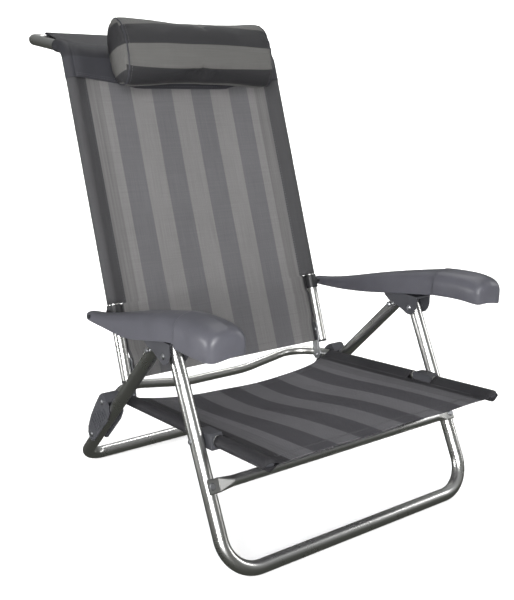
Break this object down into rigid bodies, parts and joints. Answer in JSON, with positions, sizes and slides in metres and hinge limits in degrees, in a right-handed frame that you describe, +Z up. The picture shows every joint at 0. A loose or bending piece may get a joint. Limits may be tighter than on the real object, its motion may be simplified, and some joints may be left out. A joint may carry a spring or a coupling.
{
  "type": "folding beach chair",
  "caption": "Low folding beach chair: tubular U legs, striped sling seat, reclining sling back with head pillow, moulded armrests.",
  "frame": {"origin": "centre of the chair's bounding box, on the ground", "axes": "+Z up, the sitter faces -Y, the sitter's right is -X; X is the width and the plane X = 0 is the mirror plane"},
  "size_m": [0.6622, 0.9294, 0.9182],
  "materials": {
    "aluminium": "polished tube",
    "grey_plastic": "moulded, fine grain",
    "armrest_plastic": "moulded, satin",
    "black_plastic": "moulded",
    "zinc_steel": "zinc plated",
    "sling_fabric": "woven mesh, striped",
    "edge_fabric": "woven mesh, plain dark",
    "pillow_fabric": "woven mesh, padded"
  },
  "bodies": {
    "rear_frame": {"rear_leg": "aluminium", "bracket_left": "grey_plastic", "bracket_right": "grey_plastic", "bracket_rivets": "zinc_steel", "rack_pins": "zinc_steel", "link_rivets": "zinc_steel"},
    "front_frame": {"front_leg": "aluminium", "front_crossbar": "aluminium", "crossbar_screws": "zinc_steel", "front_pivot_rivets": "zinc_steel", "seat_pivot_rivets": "zinc_steel"},
    "rear_links": {"link_block_left": "grey_plastic", "link_block_right": "grey_plastic", "link_hinge_rivets": "zinc_steel"},
    "seat": {"seat_frame": "aluminium", "rail_plugs": "grey_plastic", "pivot_block_left": "grey_plastic", "pivot_block_right": "grey_plastic", "seat_sling": "sling_fabric"},
    "back": {"back_frame": "aluminium", "back_end_caps": "black_plastic", "hinge_plate_left": "zinc_steel", "hinge_plate_right": "zinc_steel", "plate_rivets": "zinc_steel", "hinge_pins": "zinc_steel", "hinge_spacers": "zinc_steel", "arm_clamp_left": "black_plastic", "arm_clamp_right": "black_plastic", "back_sling": "sling_fabric", "top_panel": "edge_fabric", "head_pillow": "pillow_fabric"},
    "armrest_right": {"armrest_right": "armrest_plastic", "armrest_rack_right": "armrest_plastic"},
    "armrest_left": {"armrest_left": "armrest_plastic", "armrest_rack_left": "armrest_plastic"}
  },
  "joints": [
    {"name": "frame_fold", "type": "hinge", "parent": "rear_frame", "child": "rear_links", "pos_m": [0, 0.07371, 0.099], "axis": [-1, 0, 0], "range_deg": [0, 96.91]},
    {"name": "front_leg_swing", "type": "hinge", "parent": "rear_frame", "child": "front_frame", "pos_m": [0, -0.22829, 0.348], "axis": [1, 0, 0], "range_deg": [0, 64.5]},
    {"name": "seat_tilt", "type": "hinge", "parent": "rear_links", "child": "seat", "pos_m": [0, 0.02171, 0.185], "axis": [1, 0, 0], "range_deg": [0, 86.35]},
    {"name": "back_recline", "type": "hinge", "parent": "seat", "child": "back", "pos_m": [0, 0.02171, 0.185], "axis": [-1, 0, 0], "range_deg": [0, 35]},
    {"name": "armrest_right_pivot", "type": "hinge", "parent": "back", "child": "armrest_right", "pos_m": [-0.288, 0.06771, 0.347], "axis": [1, 0, 0], "range_deg": [0, 28.68]},
    {"name": "armrest_left_pivot", "type": "hinge", "parent": "back", "child": "armrest_left", "pos_m": [0.288, 0.06771, 0.347], "axis": [1, 0, 0], "range_deg": [0, 28.68]}
  ],
  "couplings": [
    {"joint": "front_leg_swing", "follows": "frame_fold", "ratio": 0.66041},
    {"joint": "seat_tilt", "follows": "frame_fold", "ratio": 0.88585},
    {"joint": "armrest_right_pivot", "follows": "back_recline", "ratio": 0.805},
    {"joint": "armrest_left_pivot", "follows": "back_recline", "ratio": 0.805}
  ]
}
